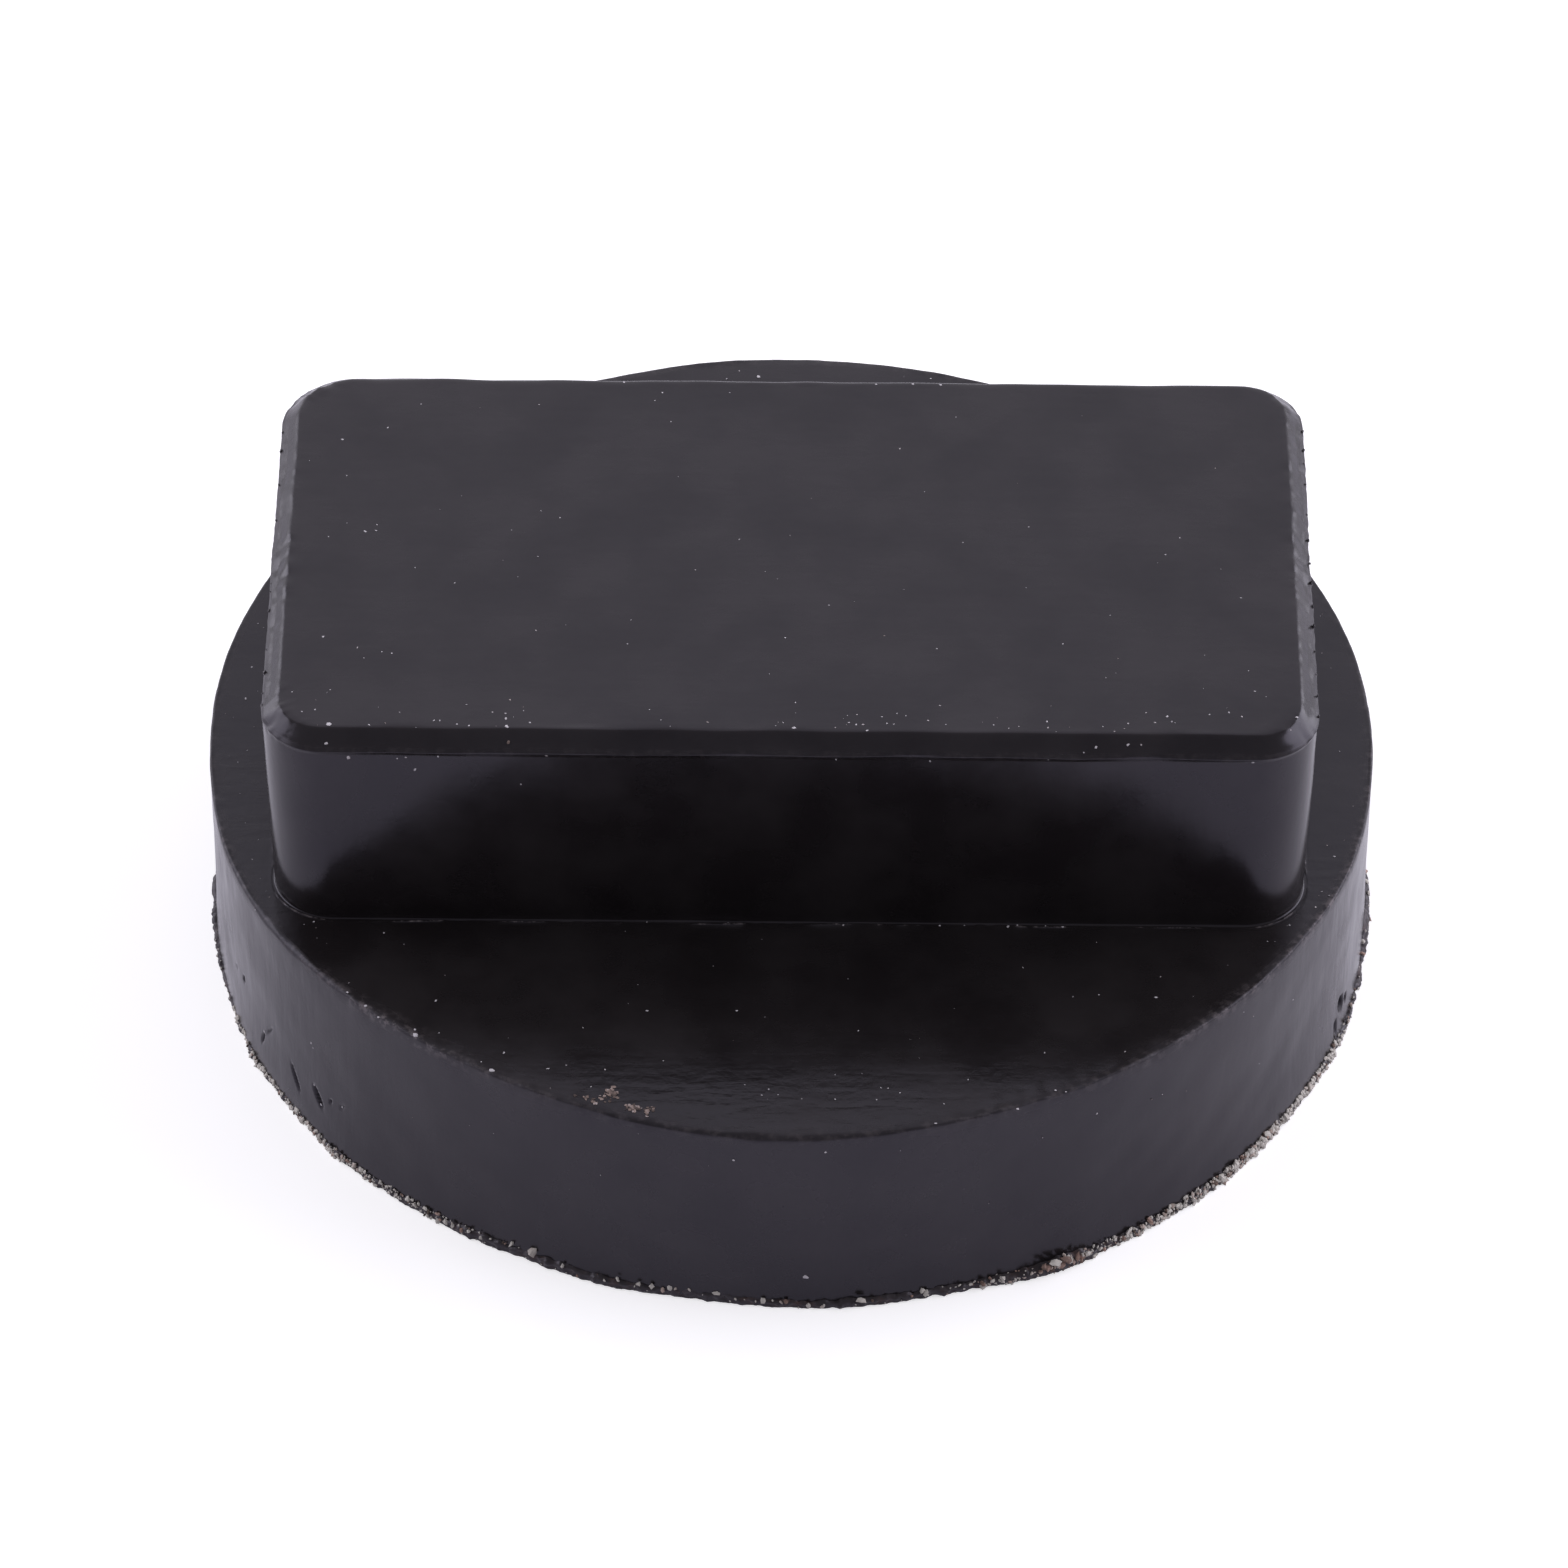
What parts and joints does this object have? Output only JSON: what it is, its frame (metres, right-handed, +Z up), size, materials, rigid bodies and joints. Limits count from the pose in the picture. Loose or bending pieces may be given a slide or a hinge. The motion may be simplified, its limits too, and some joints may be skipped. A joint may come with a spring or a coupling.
{
  "type": "jack pad adapter",
  "caption": "Round black rubber puck with a chamfered rectangular block moulded on top, which plugs into a car's jacking socket.",
  "frame": {"origin": "centre of the flat underside, where the pad sits on the jack's saddle", "axes": "+Z up, from the puck to the block; X along the block's long side"},
  "size_m": [0.0638, 0.0638, 0.0249],
  "materials": {
    "rubber": "satin"
  },
  "bodies": {
    "root": {"jack_pad": "rubber"}
  },
  "joints": []
}
